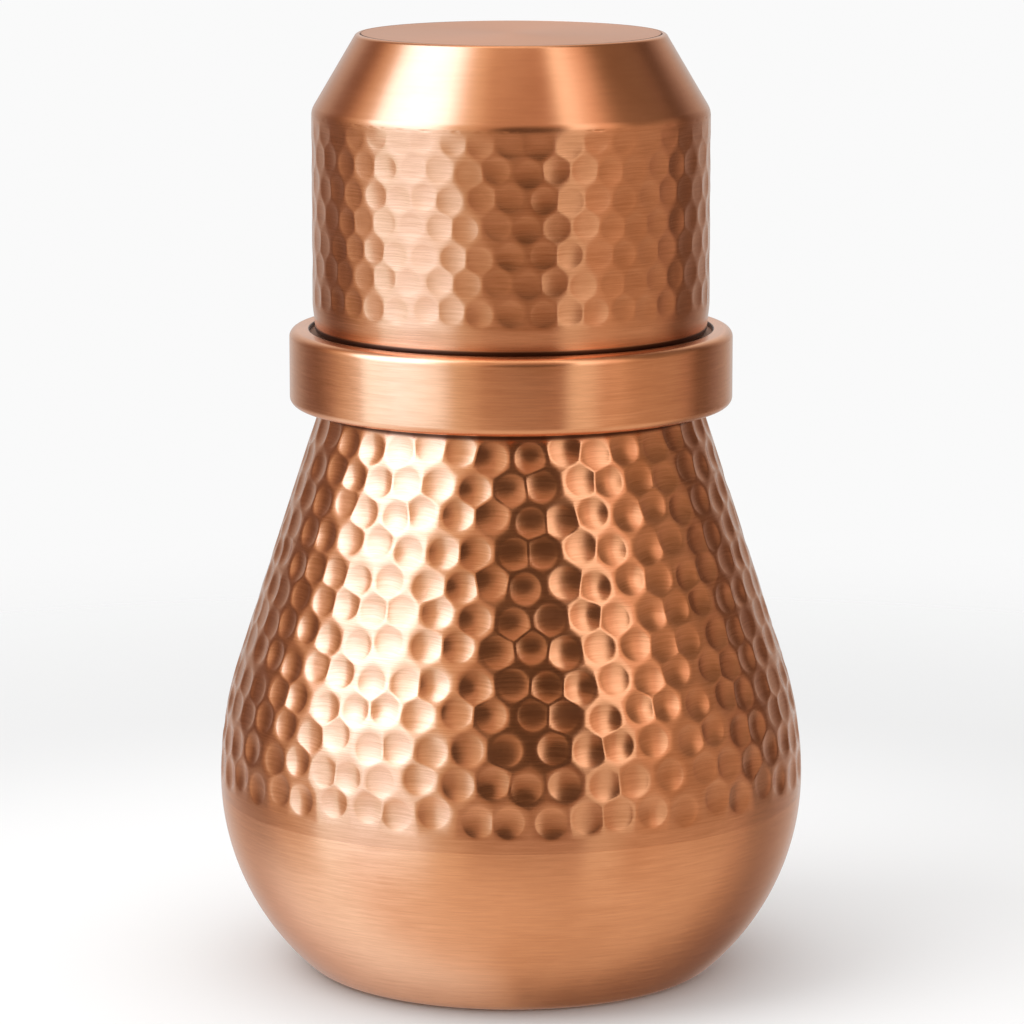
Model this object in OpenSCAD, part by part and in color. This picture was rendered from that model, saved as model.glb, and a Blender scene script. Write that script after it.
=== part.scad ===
// Copper bedside water bottle with its drinking tumbler upturned over the neck as a lid.
// Everything is turned about Z. The bottle stands on z = 0, and the tumbler's base is the highest face.
// Outlines are drawn in the half plane to the right of the axis: x is the radius and y the height.

/* [Body] */
// Height of the body from the table to the underside of the collar
body_h = 121.8; // [100:0.1:150]
// Largest diameter of the body
body_d = 124.6; // [104:0.2:150]
// Height of the largest diameter above the table
belly_z = 41.6; // [34:0.1:50]
// Radius of the outline where the belly runs up into the straight flank
belly_r = 79.4; // [60:0.2:96]
// Outer diameter of the flat ring that the bottle stands on
foot_d = 80; // [66:0.5:96]
// Radius between the bowl's side and the foot ring
foot_round = 6.7; // [5:0.1:9]
// Width of the foot ring
foot_ring_w = 5; // [3:0.5:8]
// Height that the middle of the base is pushed up above the table
push_up = 1.5; // [0.8:0.1:3]
// Thickness of the sheet that the body and the neck are made of
sheet_t = 0.7; // [0.55:0.05:0.9]

/* [Girth seam] */
// Distance of the seam below the largest diameter, which is also how far its lap reaches above it
seam_drop = 3; // [2:0.5:4]
// Length below the seam over which the bowl's edge is stepped in for the lap
joggle_h = 2.5; // [1.5:0.5:4]
// Gap that the braze fills between two lapped sheets
braze_gap = 0.1; // [0.05:0.01:0.15]
// Leg of the small fillet of braze that closes a seam
braze_leg = 0.8; // [0.6:0.05:0.9]

/* [Neck] */
// Height of the neck's lip above the seat that carries the tumbler
neck_rise = 43; // [30:1:52]
// Height, above the collar's underside, of the ledge where the body turns in to its socket for the neck
ledge_rise = 4.8; // [4:0.1:6]
// Length of neck tube that stands through into the body, below the ledge
neck_tail = 1.5; // [0.5:0.5:3]
// Diameter of the wire rolled into the neck's lip
lip_wire_d = 2; // [1.4:0.1:2.6]
// Outer radius of the bend where the flank turns in under the collar
ledge_round = 2.6; // [2:0.1:3.2]
// Radius of the bend from that ledge up into the socket
socket_round = 1.8; // [1.2:0.1:2.4]

/* [Collar] */
// Height of the collar
collar_h = 16; // [13:0.1:20]
// Width of the collar's flat top, from its outer face to the well
collar_ledge = 4.2; // [3.4:0.1:6]
// Distance that the collar stands out past the body below it
collar_overhang = 6.5; // [5.4:0.1:8]
// Thickness of the collar's sheet, which is also the depth of the well
collar_t = 1; // [0.8:0.05:1.3]
// Radius of the collar's outer edges
collar_round = 1.7; // [1.5:0.1:2.4]
// Thickness of the seat tray
seat_t = 0.8; // [0.6:0.05:1.1]
// Gap between the lower edge of the seat tray's skirt and the bend at the foot of the socket
skirt_gap = 2; // [1:0.1:2.4]
// Gap between the seat tray's edge and the bend inside the collar
seat_edge_gap = 0.1; // [0.05:0.05:0.5]

/* [Tumbler] */
// Height of the tumbler
tumbler_h = 63.2; // [54:0.1:76]
// Largest diameter of the tumbler, over its hammered wall
tumbler_d = 83.9; // [70:0.1:101]
// Diameter of the tumbler's base
tumbler_base_d = 65; // [54:0.5:70]
// Height of the cone between the wall and the base
cone_h = 16; // [13:0.5:20]
// Radius where the cone meets the wall
cone_round = 4; // [3:0.5:6]
// Thickness of the tumbler's sheet
tumbler_t = 0.7; // [0.6:0.05:0.9]
// Thickness of the disc let into the tumbler's base
base_disc_t = 1; // [0.8:0.1:1.4]
// Radius on the outer edge of the tumbler's base
base_edge_round = 1.1; // [0.5:0.05:1.3]
// Height of the plain band above the rim
band_h = 6.4; // [5:0.1:8]
// How much smaller the plain band's radius is than the hammered wall's
band_step = 0.45; // [0.2:0.05:0.6]
// Diameter of the wire rolled into the tumbler's rim
rim_wire_d = 1.6; // [1.2:0.1:2]

/* [Fits] */
// Gap all round between the tumbler's plain band and the collar's well
seat_gap = 1.2; // [0.8:0.1:2]
// Gap all round between the tumbler's rolled rim and the neck's rolled lip
neck_gap = 2.5; // [1.5:0.1:3.5]
// Play of a wire in the sheet that is rolled round it
wire_play = 0.03; // [0.01:0.01:0.05]

/* [Hidden] */

// Sides of a whole turn, and of a rolled edge's round section
$fn = 180;
bead_sides = 48;
// Steps in a drawn arc
arc_steps = 14;

// Radii of the tumbler, from the wall inwards
wall_r = tumbler_d / 2;
base_r = tumbler_base_d / 2;
band_r = wall_r - band_step;
rim_bead = rim_wire_d / 2 + tumbler_t;
rim_bead_r = band_r - rim_bead;

// Radii of the neck, from its lip inwards
lip_bead = lip_wire_d / 2 + sheet_t;
lip_r = rim_bead_r - rim_bead - neck_gap;
lip_bead_r = lip_r - lip_bead;
neck_in_r = lip_bead_r - lip_bead;
neck_out_r = neck_in_r + sheet_t;
socket_in_r = neck_out_r + braze_gap;
socket_out_r = socket_in_r + sheet_t;

// Radii of the collar
well_r = band_r + seat_gap;
collar_r = well_r + collar_ledge;
throat_r = collar_r - collar_overhang;

// Heights
collar_top_z = body_h + collar_h;
seat_z = collar_top_z - collar_t;
ledge_z = body_h + ledge_rise;
lip_z = seat_z + neck_rise;
top_z = seat_z + tumbler_h;
cone_z = top_z - cone_h;
seam_z = belly_z - seam_drop;
lap_top_z = belly_z + seam_drop;

// The body's outline: the bowl's arc runs into the foot's arc, and the belly's arc into the flank
max_r = body_d / 2;
foot_r = foot_d / 2;
in_step = foot_r - max_r;
up_step = belly_z - foot_round;
bowl_r = (in_step * in_step + up_step * up_step - foot_round * foot_round)
         / (-2 * (in_step + foot_round));
bowl_c = [max_r - bowl_r, belly_z];
foot_c = [foot_r, foot_round];
foot_angle = atan2(foot_c.y - bowl_c.y, foot_c.x - bowl_c.x);
belly_c = [max_r - belly_r, belly_z];
throat = [throat_r, body_h];
throat_line = throat - belly_c;
flank_angle = atan2(throat_line.y, throat_line.x) - acos(belly_r / norm(throat_line));

// The bends that the collar hides
ledge_c = [throat_r - (ledge_round + sin(flank_angle) * (ledge_z - ledge_round - body_h))
           / cos(flank_angle), ledge_z - ledge_round];
socket_c = [socket_out_r + socket_round, ledge_z + socket_round];

// The bends between the tumbler's wall, its cone and its base
cone_angle = atan((wall_r - base_r) / cone_h);
cone_c = [wall_r - cone_round, cone_z - cone_round * tan(cone_angle / 2)];
base_edge_c = [base_r - base_edge_round * (1 - sin(cone_angle)) / cos(cone_angle),
               top_z - base_edge_round];

// Points along an arc about c, from angle a to angle b
function arc(c, r, a, b, steps = arc_steps) =
    [for (i = [0 : steps]) c + r * [cos(a + (b - a) * i / steps), sin(a + (b - a) * i / steps)]];

// A list the other way round
function turned(points) = [for (i = [len(points) - 1 : -1 : 0]) points[i]];

// The body's outline from the middle of the base to the top of the socket, sunk by inset
function body_line(inset) = concat(
    [[0, push_up + inset],
     [foot_r - foot_ring_w - push_up + inset * tan(22.5), push_up + inset],
     [foot_r - foot_ring_w + inset * tan(22.5), inset]],
    arc(foot_c, foot_round - inset, -90, foot_angle),
    arc(bowl_c, bowl_r - inset, foot_angle, 0),
    arc(belly_c, belly_r - inset, 0, flank_angle),
    arc(ledge_c, ledge_round - inset, flank_angle, 90),
    arc(socket_c, socket_round + inset, -90, -180),
    [[socket_out_r - inset, seat_z]]);

// The tumbler's outline from the plain band up to the foot of the cone, sunk by inset
function tumbler_line(inset) = concat(
    [[band_r - inset, seat_z + rim_bead],
     [band_r - inset, seat_z + band_h - band_step],
     [wall_r - inset, seat_z + band_h + band_step]],
    arc(cone_c, cone_round - inset, 0, cone_angle));

// The tumbler's inner radius at height z on the cone
function cone_in_r(z) = base_r - tumbler_t / cos(cone_angle) + (top_z - z) * tan(cone_angle);

// Section of the body's sheet
module body_sheet() {
    polygon(concat(body_line(0), turned(body_line(sheet_t))));
}

// Section of everything between two heights
module slab(low, high) {
    translate([0, low]) square([max_r * 2, high - low]);
}

// Section of a rolled edge: a sheet curled right round a wire, at its centre
module curl(centre, outer) {
    translate(centre) circle(r = outer, $fn = bead_sides);
}

// A ring of wire
module wire_ring(centre, wire_d) {
    rotate_extrude() translate(centre) circle(r = wire_d / 2 - wire_play, $fn = bead_sides);
}

// Section of a small triangle of braze with its square corner at p, reaching out and up
module braze_corner(p, out, up) {
    polygon([p, p + [out, 0], p + [0, up]]);
}

// Spun bowl: the base, the smooth side and the stepped edge that goes up inside the shoulder
module lower_bowl() {
    lap_r = max_r - sheet_t - braze_gap;
    color("peru") rotate_extrude() {
        intersection() {
            body_sheet();
            slab(0, seam_z);
        }
        translate([lap_r - sheet_t, seam_z - joggle_h]) square([sheet_t, lap_top_z - seam_z + joggle_h]);
        translate([lap_r - sheet_t, seam_z - joggle_h]) square([sheet_t * 3 / 2, joggle_h]);
    }
}

// Hammered pear-shaped shell, from the girth seam up to the socket for the neck
module shoulder_shell() {
    color("chocolate") rotate_extrude() intersection() {
        body_sheet();
        slab(seam_z, seat_z);
    }
}

// Fillet of braze inside the body, on top of the girth lap
module girth_seam_braze() {
    reach = sheet_t / 2 + braze_leg;
    color("goldenrod") rotate_extrude() difference() {
        braze_corner([max_r - sheet_t / 2, lap_top_z], -reach, reach);
        body_sheet();
    }
}

// Plain neck, with its lip rolled outwards over a wire
module neck_tube() {
    bead_c = [lip_bead_r, lip_z - lip_bead];
    foot_z = ledge_z - sheet_t - neck_tail;
    color("peru") rotate_extrude() difference() {
        union() {
            translate([neck_in_r, foot_z]) square([sheet_t, bead_c.y - foot_z]);
            curl(bead_c, lip_bead);
        }
        curl(bead_c, lip_wire_d / 2);
    }
}

// Wire inside the neck's lip
module neck_lip_wire() {
    color("sienna") wire_ring([lip_bead_r, lip_z - lip_bead], lip_wire_d);
}

// Fillet of braze that covers the top of the socket, where the neck comes up through the seat
module neck_seam_braze() {
    color("goldenrod") rotate_extrude()
        braze_corner([neck_out_r, seat_z], braze_gap + sheet_t, braze_leg);
}

// Broad plain collar: a channel with rounded outer edges, a flat top and an underside that meets the body
module collar_ring() {
    top_c = [collar_r - collar_round, collar_top_z - collar_round];
    low_c = [collar_r - collar_round, body_h + collar_round];
    in_round = collar_round - collar_t;
    under_r = throat_r - collar_t * tan(flank_angle);
    color("peru") rotate_extrude() polygon(concat(
        [throat],
        arc(low_c, collar_round, -90, 0),
        arc(top_c, collar_round, 0, 90),
        [[well_r, collar_top_z], [well_r, seat_z]],
        turned(arc(top_c, in_round, 0, 90)),
        turned(arc(low_c, in_round, -90, 0)),
        [[under_r, body_h + collar_t]]));
}

// Tray under the collar's top that carries the tumbler's rim, with a skirt down the socket
module seat_tray() {
    edge_r = collar_r - collar_round - seat_edge_gap;
    skirt_z = ledge_z + socket_round + skirt_gap;
    color("burlywood") rotate_extrude() {
        translate([socket_out_r, seat_z - seat_t]) square([edge_r - socket_out_r, seat_t]);
        translate([socket_out_r, skirt_z]) square([seat_t, seat_z - skirt_z]);
    }
}

// Tumbler's wall and cone in one spun piece, with its rim rolled inwards over a wire
module tumbler_shell() {
    bead_c = [rim_bead_r, seat_z + rim_bead];
    color("chocolate") rotate_extrude() difference() {
        union() {
            polygon(concat(
                tumbler_line(0),
                arc(base_edge_c, base_edge_round, cone_angle, 90),
                [[cone_in_r(top_z), top_z]],
                turned(tumbler_line(tumbler_t))));
            curl(bead_c, rim_bead);
        }
        curl(bead_c, rim_wire_d / 2);
    }
}

// Wire inside the tumbler's rim
module tumbler_rim_wire() {
    color("sienna") wire_ring([rim_bead_r, seat_z + rim_bead], rim_wire_d);
}

// Flat disc let into the narrow end of the cone, flush with its edge
module tumbler_base_disc() {
    low_z = top_z - base_disc_t;
    color("burlywood") rotate_extrude() polygon([
        [0, low_z], [cone_in_r(low_z), low_z], [cone_in_r(top_z), top_z], [0, top_z]]);
}

// Fillet of braze under the disc, inside the tumbler
module tumbler_base_braze() {
    low_z = top_z - base_disc_t;
    foot_z = low_z - braze_leg;
    color("goldenrod") rotate_extrude() polygon([
        [cone_in_r(low_z) - braze_leg, low_z], [cone_in_r(foot_z), foot_z], [cone_in_r(low_z), low_z]]);
}

lower_bowl();
shoulder_shell();
girth_seam_braze();
neck_tube();
neck_lip_wire();
neck_seam_braze();
collar_ring();
seat_tray();
tumbler_shell();
tumbler_rim_wire();
tumbler_base_disc();
tumbler_base_braze();
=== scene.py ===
"""Looks of a hammered copper water bottle, its drinking tumbler upturned over its neck as the lid.

Every piece is turned about the Z axis. Outlines are drawn in the half plane beside the axis, as
points of radius and height in metres, and they run anticlockwise round the metal, so that the
outside of the metal is on the right of the way they run.
"""

from __future__ import annotations

import logging
import math
import random
from dataclasses import dataclass
from enum import Enum

import bmesh
import bpy
import numpy as np
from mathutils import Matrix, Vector
from mathutils.geometry import delaunay_2d_cdt

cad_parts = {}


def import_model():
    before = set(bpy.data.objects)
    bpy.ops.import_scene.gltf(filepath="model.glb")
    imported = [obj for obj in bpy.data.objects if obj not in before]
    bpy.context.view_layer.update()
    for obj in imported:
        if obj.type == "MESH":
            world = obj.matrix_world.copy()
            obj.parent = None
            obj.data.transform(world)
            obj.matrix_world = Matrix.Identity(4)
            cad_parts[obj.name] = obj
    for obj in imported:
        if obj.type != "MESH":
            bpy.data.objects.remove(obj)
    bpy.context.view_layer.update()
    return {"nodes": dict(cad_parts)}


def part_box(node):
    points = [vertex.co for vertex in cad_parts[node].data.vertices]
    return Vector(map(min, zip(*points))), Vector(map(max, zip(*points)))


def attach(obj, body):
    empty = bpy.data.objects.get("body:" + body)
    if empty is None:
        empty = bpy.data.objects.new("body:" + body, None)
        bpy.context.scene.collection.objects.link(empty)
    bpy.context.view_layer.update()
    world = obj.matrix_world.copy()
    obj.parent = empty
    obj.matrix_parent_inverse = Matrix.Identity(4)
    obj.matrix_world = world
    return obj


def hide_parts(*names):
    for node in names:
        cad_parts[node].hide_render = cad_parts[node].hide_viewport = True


log = logging.getLogger("bottle")

Point = tuple[float, float]
Colour = tuple[float, float, float]
Range = tuple[float, float]
Panels = tuple[tuple[float, Colour], ...]

TURN = 2 * math.pi
MERGE_DISTANCE = 3e-6
SLIVER_EDGE = 1e-7
SAME_ANGLE = 1e-6
ON_EDGE = 1e-7
SHARP_ANGLE = math.radians(38)
ROUND_SIDES = 384
HIDDEN_SIDES = 192


class Slot(Enum):
    """Material slots of the record, one for each finish."""

    HAMMERED = "hammered_copper"
    BRUSHED = "brushed_copper"
    MATTE = "matte_copper"
    WIRE = "copper_wire"
    BRAZE = "braze_alloy"


class Coat(Enum):
    """Finishes of this object's surfaces, each with the slot that it belongs to."""

    BODY = ("body", Slot.HAMMERED)
    BOWL = ("bowl", Slot.BRUSHED)
    COLLAR = ("collar", Slot.BRUSHED)
    TRAY = ("tray", Slot.BRUSHED)
    NECK = ("neck", Slot.BRUSHED)
    TUMBLER = ("tumbler", Slot.HAMMERED)
    DISC = ("disc", Slot.MATTE)
    WIRE = ("wire", Slot.WIRE)
    BRAZE = ("braze", Slot.BRAZE)

    @property
    def slot(self) -> Slot:
        """The record's slot of the finish."""
        return self.value[1]


class Measure(Enum):
    """What a crevice is measured by."""

    RADIUS = "radius"
    HEIGHT = "height"


class Body(Enum):
    """Moving bodies of the frame."""

    BOTTLE = "bottle"
    TUMBLER = "tumbler"


# ---------------------------------------------------------------------------------------------
# Node trees
# ---------------------------------------------------------------------------------------------


class Wire:
    """An output socket on which Python's operators add Math nodes."""

    def __init__(self, sheet: NodeSheet, socket: bpy.types.NodeSocket) -> None:
        """Wraps a socket.

        Args:
            sheet: The node sheet that the socket is on.
            socket: An output socket.
        """
        self.sheet = sheet
        self.socket = socket

    def math(self, operation: str, *others: Wire | float) -> Wire:
        """Adds a Math node that starts from this value.

        Args:
            operation: The Math node's operation.
            others: The values of its further sockets.

        Returns:
            The result.
        """
        return self.sheet.calculate(operation, self, *others)

    def __add__(self, other: Wire | float) -> Wire:
        """Sum."""
        return self.math("ADD", other)

    def __sub__(self, other: Wire | float) -> Wire:
        """Difference."""
        return self.math("SUBTRACT", other)

    def __rsub__(self, other: float) -> Wire:
        """Difference, with the plain number first."""
        return self.sheet.calculate("SUBTRACT", other, self)

    def __mul__(self, other: Wire | float) -> Wire:
        """Product."""
        return self.math("MULTIPLY", other)

    def __truediv__(self, other: Wire | float) -> Wire:
        """Quotient."""
        return self.math("DIVIDE", other)

    __radd__ = __add__
    __rmul__ = __mul__


class NodeSheet:
    """A node tree that is filled by short calls."""

    def __init__(self, tree: bpy.types.NodeTree) -> None:
        """Wraps an empty tree.

        Args:
            tree: The tree to fill.
        """
        self.tree = tree

    @classmethod
    def of(cls, owner: bpy.types.Material | bpy.types.World) -> NodeSheet:
        """Clears the nodes of a material or a world.

        Args:
            owner: The material or the world.

        Returns:
            Its empty sheet.
        """
        owner.use_nodes = True
        owner.node_tree.nodes.clear()
        return cls(owner.node_tree)

    def node(
        self,
        kind: str,
        settings: dict[str, object] | None = None,
        inputs: dict[str | int, object] | None = None,
    ) -> bpy.types.Node:
        """Adds a node.

        Args:
            kind: The node's type.
            settings: Its properties, set before its sockets; "stops" fills a colour ramp.
            inputs: Its sockets by name or number, each with a plain value or a Wire.

        Returns:
            The node.
        """
        made = self.tree.nodes.new(kind)
        for name, value in (settings or {}).items():
            if name == "stops":
                self.fill_ramp(made.color_ramp, value)
            else:
                setattr(made, name, value)
        for key, value in (inputs or {}).items():
            socket = made.inputs[key]
            if isinstance(value, Wire):
                self.tree.links.new(value.socket, socket)
            elif socket.type == "RGBA":
                socket.default_value = (*value, 1.0)
            else:
                socket.default_value = value
        return made

    def out(
        self,
        kind: str,
        settings: dict[str, object] | None = None,
        inputs: dict[str | int, object] | None = None,
        output: str | int = 0,
    ) -> Wire:
        """Adds a node and gives one of its outputs.

        Args:
            kind: The node's type.
            settings: Its properties.
            inputs: Its sockets.
            output: The name or number of the output.

        Returns:
            The output.
        """
        return Wire(self, self.node(kind, settings, inputs).outputs[output])

    def axes(self, place: Wire) -> tuple[Wire, Wire, Wire]:
        """Splits a vector.

        Args:
            place: The vector.

        Returns:
            Its X, Y and Z.
        """
        parts = self.node("ShaderNodeSeparateXYZ", None, {0: place}).outputs
        return Wire(self, parts[0]), Wire(self, parts[1]), Wire(self, parts[2])

    def calculate(self, operation: str, *values: Wire | float) -> Wire:
        """Adds a Math node.

        Args:
            operation: Its operation.
            values: The values of its sockets.

        Returns:
            The result.
        """
        return self.out("ShaderNodeMath", {"operation": operation}, dict(enumerate(values)))

    def ease(self, value: Wire, low: float, high: float) -> Wire:
        """Rises smoothly from 0 to 1 as a value goes from low to high.

        Args:
            value: The value.
            low: Where the rise starts.
            high: Where the rise ends.

        Returns:
            The rise.
        """
        return self.out(
            "ShaderNodeMapRange",
            {"interpolation_type": "SMOOTHSTEP"},
            {"Value": value, "From Min": low, "From Max": high},
        )

    def blend(
        self,
        share: Wire | float,
        first: Wire | Colour,
        second: Wire | Colour,
        blend_type: str = "MIX",
    ) -> Wire:
        """Mixes two colours.

        Args:
            share: The share of the second colour.
            first: The first colour.
            second: The second colour.
            blend_type: How they are mixed.

        Returns:
            The mixed colour.
        """
        settings = {"data_type": "RGBA", "blend_type": blend_type}
        return self.out("ShaderNodeMix", settings, {0: share, 6: first, 7: second}, 2)

    def mix(self, share: Wire, first: Wire, second: Wire) -> Wire:
        """Mixes two shaders.

        Args:
            share: The share of the second shader.
            first: The first shader.
            second: The second shader.

        Returns:
            The mixed shader.
        """
        return self.out("ShaderNodeMixShader", None, {0: share, 1: first, 2: second})

    def noise(self, vector: Wire, scale: float, detail: float, roughness: float = 0.5) -> Wire:
        """Adds a noise texture.

        Args:
            vector: Where it is read.
            scale: Its scale.
            detail: Its number of finer layers.
            roughness: How strong the finer layers are.

        Returns:
            The noise, about 0.5.
        """
        inputs = {"Vector": vector, "Scale": scale, "Detail": detail, "Roughness": roughness}
        return self.out("ShaderNodeTexNoise", None, inputs)

    def bump(self, height: Wire, depth: float) -> Wire:
        """Turns a height into a normal.

        Args:
            height: The height, from 0 to 1.
            depth: What 1 stands for.

        Returns:
            The normal.
        """
        inputs = {"Strength": 1.0, "Distance": depth, "Height": height}
        return self.out("ShaderNodeBump", None, inputs)

    @staticmethod
    def fill_ramp(ramp: bpy.types.ColorRamp, stops: list[tuple[float, Colour]]) -> None:
        """Sets the stops of a colour ramp.

        Args:
            ramp: The ramp.
            stops: Each stop's position and colour.
        """
        while len(ramp.elements) < len(stops):
            ramp.elements.new(1.0)
        for element, (position, colour) in zip(ramp.elements, stops):
            element.position = position
            element.color = (*colour, 1.0)


# ---------------------------------------------------------------------------------------------
# Finishes
# ---------------------------------------------------------------------------------------------


@dataclass(frozen=True)
class Crevice:
    """A strip of painted shade, where the polish is darkened to stand in for the shade in a gap or
    recess.

    It is measured by radius or height from an edge, first to where the painted shade starts and
    then to where it is fully dark.
    """

    measure: Measure
    edge: float
    clean: float
    dark: float


@dataclass(frozen=True)
class Finish:
    """A metal finish."""

    name: str

    def material(self) -> bpy.types.Material:
        """Makes the finish as a material.

        Returns:
            The material.
        """
        made = bpy.data.materials.new(self.name)
        sheet = NodeSheet.of(made)
        sockets = {"Metallic": 1.0, **self.sockets(sheet)}
        shader = sheet.out("ShaderNodeBsdfPrincipled", None, sockets)
        sheet.node("ShaderNodeOutputMaterial", None, {"Surface": shader})
        return made

    def sockets(self, sheet: NodeSheet) -> dict[str, Wire | float]:
        """Gives what goes into the shader.

        Args:
            sheet: The material's sheet.

        Returns:
            The shader's sockets by name.
        """
        raise NotImplementedError


@dataclass(frozen=True)
class CopperFinish(Finish):
    """Copper brushed round the axis, with a little tone left by handling, and painted shade in its
    crevices.
    """

    bright: Colour = (0.90, 0.41, 0.20)
    deep: Colour = (0.66, 0.265, 0.115)
    # The dark colour and extra roughness of the painted shade in the crevices.
    painted_shade: Colour = (0.13, 0.048, 0.024)
    painted_shade_rough: float = 0.2
    crevices: tuple[Crevice, ...] = ()
    roughness: float = 0.235
    roughness_swing: float = 0.07
    anisotropy: float = 0.9
    brushing_turn: float = 0.25
    line_pitch: float = 0.00021
    line_length: float = 0.0075
    line_depth: float = 0.000007
    line_detail: float = 3.0
    line_grit: float = 0.68
    cone_slant: float = 0.7
    coarse_pitch: float = 2.6
    coarse_length: float = 1.6
    coarse_share: float = 0.45
    smooth_from: float | None = None
    smooth_edge: float = 0.0006
    smooth_share: float = 0.7
    mottle_size: float = 0.013
    mottle_share: float = 0.25
    cloud_scale: float = 0.28
    cloud_share: float = 0.22
    line_share: float = 0.62
    line_range: Range = (0.34, 0.66)
    cloud_range: Range = (0.45, 0.7)
    dent_tone: float = 0.0
    dent_rough: float = 0.06

    def sockets(self, sheet: NodeSheet) -> dict[str, Wire | float]:
        """Gives what goes into the shader.

        Args:
            sheet: The material's sheet.

        Returns:
            The shader's sockets by name.
        """
        place = sheet.out("ShaderNodeTexCoord", output="Object")
        x, y, z = sheet.axes(place)
        radius = (x * x + y * y).math("POWER", 0.5)
        along = z + radius * self.cone_slant

        def brushed(pitch: float, length: float) -> Wire:
            """Draws lines round the axis.

            Args:
                pitch: The width of a line.
                length: The length of a line.

            Returns:
                The noise of such lines.
            """
            stretched = {0: x / length, 1: y / length, 2: along / pitch}
            lines = sheet.out("ShaderNodeCombineXYZ", None, stretched)
            return sheet.noise(lines, 1.0, self.line_detail, self.line_grit)

        coarse = brushed(self.line_pitch * self.coarse_pitch, self.line_length * self.coarse_length)
        fine = brushed(self.line_pitch, self.line_length)
        lines = coarse * self.coarse_share + fine * (1 - self.coarse_share)
        if self.smooth_from is not None:
            low, high = self.smooth_from - self.smooth_edge, self.smooth_from + self.smooth_edge
            lines = lines + (0.5 - lines) * (sheet.ease(z, low, high) * self.smooth_share)
        mottle = sheet.noise(place, 1 / self.mottle_size, 3.0)
        cloud = sheet.noise(place, self.cloud_scale / self.mottle_size, 2.0)

        mixed = lines * (1 - self.mottle_share) + mottle * self.mottle_share
        share = (1 - sheet.ease(mixed, *self.line_range)) * self.line_share
        share = share + sheet.ease(cloud, *self.cloud_range) * self.cloud_share
        rough = self.roughness + (lines - 0.5) * self.roughness_swing * 2
        rough = rough + (mottle - 0.5) * self.roughness_swing
        if self.dent_tone:
            dent = sheet.out("ShaderNodeAttribute", {"attribute_name": "dent"}, output="Fac")
            share = share + dent * self.dent_tone
            rough = rough + dent * self.dent_tone * self.dent_rough
        tint = sheet.blend(share.math("MINIMUM", 1.0), self.bright, self.deep)
        # Painted shade: each crevice blends the colour towards a dark colour, and roughens it,
        # where shade falls in a gap or recess.
        for crevice in self.crevices:
            measured = radius if crevice.measure is Measure.RADIUS else z
            clean, dark = crevice.edge + crevice.clean, crevice.edge + crevice.dark
            painted_shade_share = sheet.ease(measured, clean, dark)
            tint = sheet.blend(painted_shade_share, tint, self.painted_shade)
            rough = rough + painted_shade_share * self.painted_shade_rough
        return {
            "Base Color": tint,
            "Roughness": rough,
            "Anisotropic": self.anisotropy,
            "Anisotropic Rotation": self.brushing_turn,
            "Normal": sheet.bump(lines, self.line_depth),
        }


@dataclass(frozen=True)
class BrazeFinish(Finish):
    """Braze as it set, dull and a little uneven."""

    name: str = "braze_as_set"
    bright: Colour = (0.74, 0.55, 0.30)
    dull: Colour = (0.45, 0.30, 0.16)
    roughness: float = 0.35
    roughness_rise: float = 0.3
    grain_size: float = 0.0012
    grain_depth: float = 0.00008
    grain_range: Range = (0.35, 0.65)

    def sockets(self, sheet: NodeSheet) -> dict[str, Wire | float]:
        """Gives what goes into the shader.

        Args:
            sheet: The material's sheet.

        Returns:
            The shader's sockets by name.
        """
        place = sheet.out("ShaderNodeTexCoord", output="Object")
        grain = sheet.noise(place, 1 / self.grain_size, 4.0, 0.6)
        share = sheet.ease(grain, *self.grain_range)
        return {
            "Base Color": sheet.blend(share, self.dull, self.bright),
            "Roughness": self.roughness + grain * self.roughness_rise,
            "Normal": sheet.bump(grain, self.grain_depth),
        }


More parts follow.
